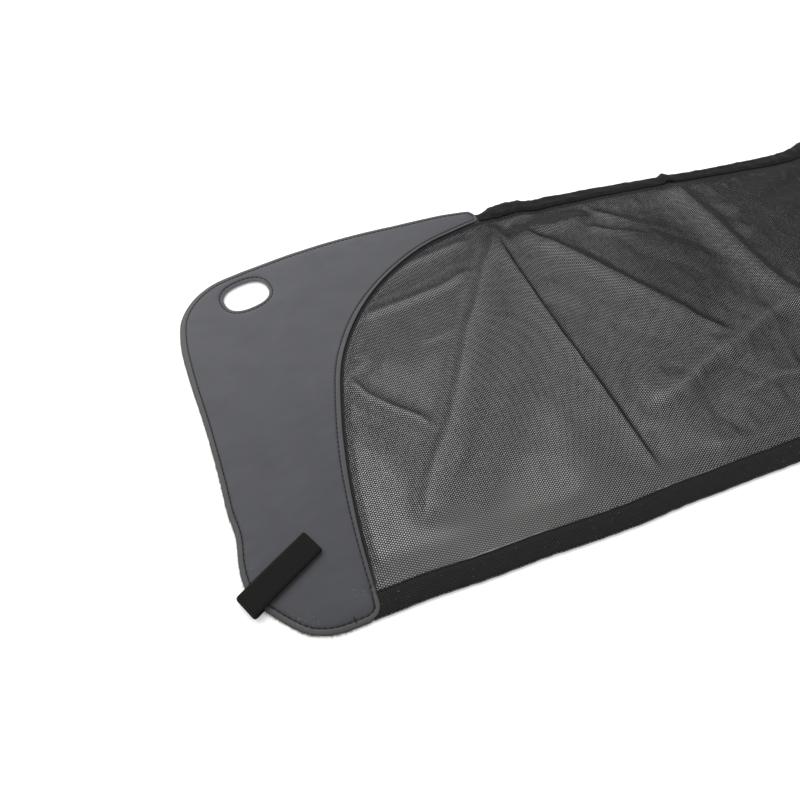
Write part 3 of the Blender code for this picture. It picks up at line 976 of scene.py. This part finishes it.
def strap(sleeve):
    """The elastic, set down at its turn, with its root on the sleeve; it rides on no body and does not swing.
    """
    joint = JOINTS["left_strap_turn"]
    axis = Vector(joint["axis"])
    turn = Vector(joint["pos_m"])
    points, faces, along, across = strap_mesh()
    way = np.array([-axis.y, axis.x])
    side = np.array([-way[1], way[0]])
    flat = np.outer(points[:, 0], way) + np.outer(points[:, 1], side) + np.array(turn.xy) / MM
    placed = np.column_stack([flat, points[:, 2]])
    made = sleeve_piece(
        sleeve, "elastic_strap", placed, faces, "elastic", "strap_root", "strap_loop", rides=False,
    )
    set_field(made, "along", along)
    set_field(made, "across", across)
    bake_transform(made)


# Materials

class Shader:
    """A material's nodes, wired with short calls."""

    def __init__(self, name):
        self.material = bpy.data.materials.new(name)
        self.material.use_nodes = True
        self.tree = self.material.node_tree
        self.surface = self.tree.nodes["Principled BSDF"]

    def feed(self, socket, value):
        """Links or sets an input. A tuple of three is a colour."""
        if isinstance(value, bpy.types.NodeSocket):
            self.tree.links.new(value, socket)
        else:
            socket.default_value = (*value, 1.0) if isinstance(value, tuple) else value

    def add(self, kind, *values, output=0, **settings):
        """A new node with its first inputs fed in order, and one of its outputs."""
        made = self.tree.nodes.new("ShaderNode" + kind)
        for name, value in settings.items():
            setattr(made, name, value)
        for socket, value in zip([s for s in made.inputs if s.enabled], values):
            if value is not None:
                self.feed(socket, value)
        return made.outputs[output]

    def math(self, operation, *values):
        return self.add("Math", *values, operation=operation)

    def times(self, a, b):
        return self.math("MULTIPLY", a, b)

    def field(self, name):
        return self.add("Attribute", attribute_name=name, output="Fac")

    def place(self):
        return self.add("Attribute", attribute_name="rest", output="Vector")

    def axes(self):
        """The X and the Y of the point at rest."""
        return [self.add("SeparateXYZ", self.place(), output=i) for i in (0, 1)]

    def ripple(self, value, length, wave="SINE"):
        return self.math(wave, self.times(value, math.tau / length))

    def noise(self, size, detail=2.0):
        """Noise whose features are about `size` millimetres across."""
        return self.add("TexNoise", self.place(), 1 / (size * MM), detail, output="Fac")

    def between(self, value, low, high, to_low=0.0, to_high=1.0):
        return self.add("MapRange", value, low, high, to_low, to_high)

    def mix(self, factor, a, b):
        made = self.tree.nodes.new("ShaderNodeMix")
        made.data_type = "RGBA"
        for socket, value in zip((made.inputs[0], made.inputs[6], made.inputs[7]), (factor, a, b)):
            self.feed(socket, value)
        return made.outputs[2]

    def bump(self, height, distance, strength=1.0, normal=None):
        made = self.tree.nodes.new("ShaderNodeBump")
        for name, value in ("Strength", strength), ("Distance", distance * MM), ("Height", height):
            self.feed(made.inputs[name], value)
        if normal:
            self.feed(made.inputs["Normal"], normal)
        return made.outputs["Normal"]

    def finish(self, colour, roughness, normal=None, specular=0.5, sheen=0.0):
        inputs = self.surface.inputs
        self.feed(inputs["Base Color"], colour)
        self.feed(inputs["Roughness"], roughness)
        self.feed(inputs["Specular IOR Level"], specular)
        self.feed(inputs["Sheen Weight"], sheen)
        if normal:
            self.feed(inputs["Normal"], normal)
        return self.material


def spot(shader, centre, radius, turn, stretch):
    """A mask around a point of the sleeve, in millimetres, on the left and the right one alike."""
    x, y = shader.axes()
    x = shader.times(shader.math("ABSOLUTE", x), -1.0)
    across = shader.math("SUBTRACT", x, centre[0] * MM)
    up = shader.math("SUBTRACT", y, centre[1] * MM)
    c, s = math.cos(turn), math.sin(turn)
    u = shader.math("ADD", shader.times(across, c), shader.times(up, s))
    v = shader.math("SUBTRACT", shader.times(up, c), shader.times(across, s))
    u = shader.math("DIVIDE", u, stretch)
    squares = [shader.times(value, value) for value in (u, v)]
    far = shader.math("SQRT", shader.math("ADD", *squares))
    return shader.between(far, radius * MM, radius * MM * 0.4)


CUT_EDGE = (0.17, 0.165, 0.18)
# Scuffs on the sleeve: centre, radius, turn of its long axis, and how many times longer it is
SCUFFS = [
    ((-520.5, 21.5), 1.6, 0, 1), ((-533, -129), 4.5, 0.6, 1.6), ((-505, -176), 9, -0.7, 1.8),
    ((-466, -169), 6.5, 0.3, 1.8), ((-436, 18), 5, 1.2, 2.6), ((-433, 28), 2.5, 1.2, 2.6),
]


def leatherette():
    """Charcoal leatherette: fine pebbled grain, soft mottling, a paler pressed border of painted highlight,
    dust and scuffs.
    """
    shader = Shader("leatherette")
    mottled = shader.noise(28, 3)
    colour = shader.mix(shader.between(mottled, 0.3, 0.7), (0.0252, 0.0260, 0.0323), (0.0284, 0.0293, 0.0361))
    fine = shader.noise(1.1, 4)
    colour = shader.mix(shader.between(fine, 0.35, 0.75, 0.0, 0.35), colour, (0.041, 0.042, 0.048))
    # Paler border between edge and seam: painted highlight where the edge rolls over, broken into patches by
    # noise
    border_highlight_patches = shader.between(shader.noise(3), 0.2, 0.7, 0.5, 1.0)
    colour = shader.mix(shader.times(shader.field("border"), border_highlight_patches), colour, (0.038, 0.039, 0.036))
    dust = shader.between(shader.noise(1.6, 4), 0.58, 0.74)
    marked = 0.0
    for mark in SCUFFS:
        marked = shader.math("MAXIMUM", marked, spot(shader, *mark))
    colour = shader.mix(shader.times(marked, dust), colour, (0.09, 0.092, 0.096))
    colour = shader.mix(shader.field("cut"), colour, CUT_EDGE)
    grain = shader.add("TexVoronoi", shader.place(), None, 1 / (0.9 * MM), feature="SMOOTH_F1")
    grain = shader.math("ADD", grain, shader.times(shader.noise(0.35, 3), 0.6))
    normal = shader.bump(grain, 0.09, 0.6)
    normal = shader.bump(shader.noise(9, 2), 0.12, 0.3, normal)
    roughness = shader.between(mottled, 0.3, 0.7, 0.53, 0.49)
    return shader.finish(colour, roughness, normal, specular=0.34)


def knit_backing():
    """Matt jersey backing: rows of small loops, nearly black where it shows beside the net, partly its own
    dark edge and partly painted shade under the front ply's edge.
    """
    shader = Shader("knit_backing")
    x, y = shader.axes()
    loops = shader.times(shader.ripple(y, 1.1 * MM), shader.ripple(x, 0.8 * MM))
    colour = shader.mix(shader.between(loops, -1, 1), (0.028, 0.030, 0.026), (0.052, 0.055, 0.048))
    faded = shader.between(shader.noise(12, 3), 0.3, 0.7, 0.0, 0.5)
    colour = shader.mix(faded, colour, (0.055, 0.058, 0.052))
    # Nearly black near the inner curve: partly the backing's dark edge, partly painted shade along the front
    # ply's edge
    colour = shader.mix(shader.field("dark"), colour, (0.006, 0.006, 0.006))
    colour = shader.mix(shader.field("cut"), colour, CUT_EDGE)
    return shader.finish(colour, 0.9, shader.bump(loops, 0.12, 0.6), sheen=0.2)


def fibre():
    """Loose fibres at the backing's raw edge."""
    shader = Shader("raw_edge_fibre")
    colour = shader.mix(shader.noise(3), (0.045, 0.048, 0.041), (0.09, 0.094, 0.084))
    return shader.finish(colour, 0.85)


def net():
    """Black warp-knit yarn with a faint gloss."""
    shader = Shader("net")
    colour = shader.mix(shader.noise(6, 3), (0.007, 0.007, 0.0075), (0.013, 0.013, 0.0135))
    return shader.finish(colour, 0.5, specular=0.15)


def hem_fabric():
    """The same net where it is folded over and gathered, with lint caught in it."""
    shader = Shader("hem_fabric")
    colour = shader.mix(shader.noise(5, 3), (0.007, 0.007, 0.007), (0.013, 0.013, 0.012))
    lint = shader.between(shader.noise(2.2, 5), 0.66, 0.74)
    colour = shader.mix(shader.times(lint, 0.5), colour, (0.16, 0.16, 0.15))
    return shader.finish(colour, 0.55, specular=0.15)


def hem_core_fabric(name):
    """Woven tape or flat elastic inside a hem: fine ribs along it."""
    shader = Shader(name)
    x, y = shader.axes()
    weave = shader.times(shader.ripple(x, 0.7 * MM), shader.ripple(y, 0.9 * MM))
    colour = shader.mix(shader.between(weave, -1, 1), (0.004, 0.004, 0.004), (0.012, 0.012, 0.012))
    return shader.finish(colour, 0.85, shader.bump(weave, 0.1, 0.5), specular=0.1)


def thread():
    """Twisted black polyester thread."""
    shader = Shader("thread")
    twist = shader.add("TexWave", shader.place(), 1 / (0.9 * MM), 2.0)
    colour = shader.mix(shader.between(twist, 0, 1), (0.003, 0.003, 0.004), (0.012, 0.012, 0.013))
    return shader.finish(colour, 0.55, shader.bump(twist, 0.05, 0.6), specular=0.2)


def elastic():
    """Ribbed elastic: black yarn across the ribs, with a closer woven edge, painted highlight on the rib
    crests and painted shade in the grooves.
    """
    shader = Shader("elastic")
    along, across = shader.field("along"), shader.field("across")
    rib = shader.ripple(along, RIB, "COSINE")
    yarn = shader.ripple(across, RIB)
    # Painted highlight on the rib crests and painted shade in the grooves between them
    colour = shader.mix(shader.between(rib, -1, 1), (0.0014, 0.0014, 0.0014), (0.018, 0.018, 0.0168))
    colour = shader.mix(shader.between(yarn, -1, 1, 0.0, 0.6), colour, (0.0012, 0.0012, 0.0012))
    selvage = shader.between(shader.math("ABSOLUTE", across), 8.9, 9.3)
    colour = shader.mix(selvage, colour, (0.010, 0.010, 0.009))
    return shader.finish(colour, 0.75, shader.bump(yarn, 0.10, 0.7), specular=0.08)


MATERIAL = {
    "leatherette": leatherette(),
    "knit_backing": knit_backing(),
    "fibre": fibre(),
    "net": net(),
    "hem_fabric": hem_fabric(),
    "hem_elastic": hem_core_fabric("hem_elastic"),
    "hem_tape": hem_core_fabric("hem_tape"),
    "thread": thread(),
    "elastic": elastic(),
}


# Pieces along the screen, and where each is hung

def hang(made, where):
    """Puts a piece on its body; one that crosses a fold keeps its place, with its transform baked in."""
    if where in frame["bodies"]:
        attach(made, where)
        return
    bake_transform(made)


def build_net():
    """Nine pieces side by side. The ones that cross a fold are put on no body."""
    half = [47, 142, 237, 325, 470]
    ends = [-x for x in half[::-1]] + half
    places = ("left_end", "left_end", "left_fold", "mid_left", "middle_fold",
              "mid_right", "right_fold", "right_end", "right_end")
    for number, place in enumerate(places):
        made = net_piece(f"net_{number + 1}", ends[number], ends[number + 1])
        hang(made, place)
        if place in SECTIONS:
            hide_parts(f"{place}_net")


def build_hems():
    """Three lengths of each hem, each over one fold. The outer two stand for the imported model's nodes."""
    for hem, filling, slot, reach in (
        (TOP_HEM, "top_elastic", "hem_elastic", 232), (BOTTOM_HEM, "bottom_tape", "hem_tape", 461),
    ):
        for number, (where, low, high, sections) in enumerate((
            ("left_fold", -reach, -HEM_CUT, SECTIONS[:2]),
            ("middle_fold", -HEM_CUT, HEM_CUT, ()),
            ("right_fold", HEM_CUT, reach, SECTIONS[2:]),
        )):
            for name, mesh, material, node in (
                (hem.kind, hem_skin(hem, low, high), "hem_fabric", hem.kind),
                (filling, hem_core(hem, low, high), slot, filling),
                (hem.kind + "_stitches", hem_stitches(hem, low, high), "thread", hem.kind + "_seam"),
            ):
                made = new_object(f"{name}_{number + 1}", *mesh, material)
                hang(made, where)
                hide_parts(*[f"{section}_{node}" for section in sections])


def build_sleeves():
    for sleeve in SLEEVES.values():
        build_plies(sleeve)
        sleeve_seams(sleeve)
        strap(sleeve)


# Floor, light and camera

def studio():
    """A white paper floor under an even white sky, with one large soft light from behind."""
    scene = bpy.context.scene
    scene.view_settings.view_transform = "Standard"
    world = bpy.data.worlds.new("studio")
    world.use_nodes = True
    background = world.node_tree.nodes["Background"].inputs
    background["Color"].default_value = (1, 1, 1, 1)
    background["Strength"].default_value = 0.98
    scene.world = world
    bpy.ops.mesh.primitive_plane_add(size=12, location=(0, 0, -0.0002))
    floor = bpy.context.object
    floor.name = "floor"
    paper = Shader("white_paper")
    floor.data.materials.append(paper.finish((0.95, 0.95, 0.95), 0.9))
    light = bpy.data.lights.new("softbox", "AREA")
    light.shape = "RECTANGLE"
    light.size = 3.0
    light.size_y = 2.2
    light.energy = 55
    box = bpy.data.objects.new("softbox", light)
    box.location = (-0.7, 1.5, 1.5)
    box.rotation_euler = (Vector((-0.2, 0, 0)) - box.location).to_track_quat("-Z", "Y").to_euler()
    scene.collection.objects.link(box)


def camera():
    """The camera of the reference view, 415 mm above the floor."""
    data = bpy.data.cameras.new("camera")
    data.lens = 25.7
    data.sensor_width = 36
    data.clip_start = 0.01
    made = bpy.data.objects.new("camera", data)
    made.location = (-0.4730, -0.2760, 0.4154)
    made.rotation_euler = Vector((0.1830, 0.5083, -0.8415)).to_track_quat("-Z", "Y").to_euler()
    bpy.context.scene.collection.objects.link(made)
    bpy.context.scene.camera = made


build_net()
build_hems()
build_sleeves()
studio()
camera()
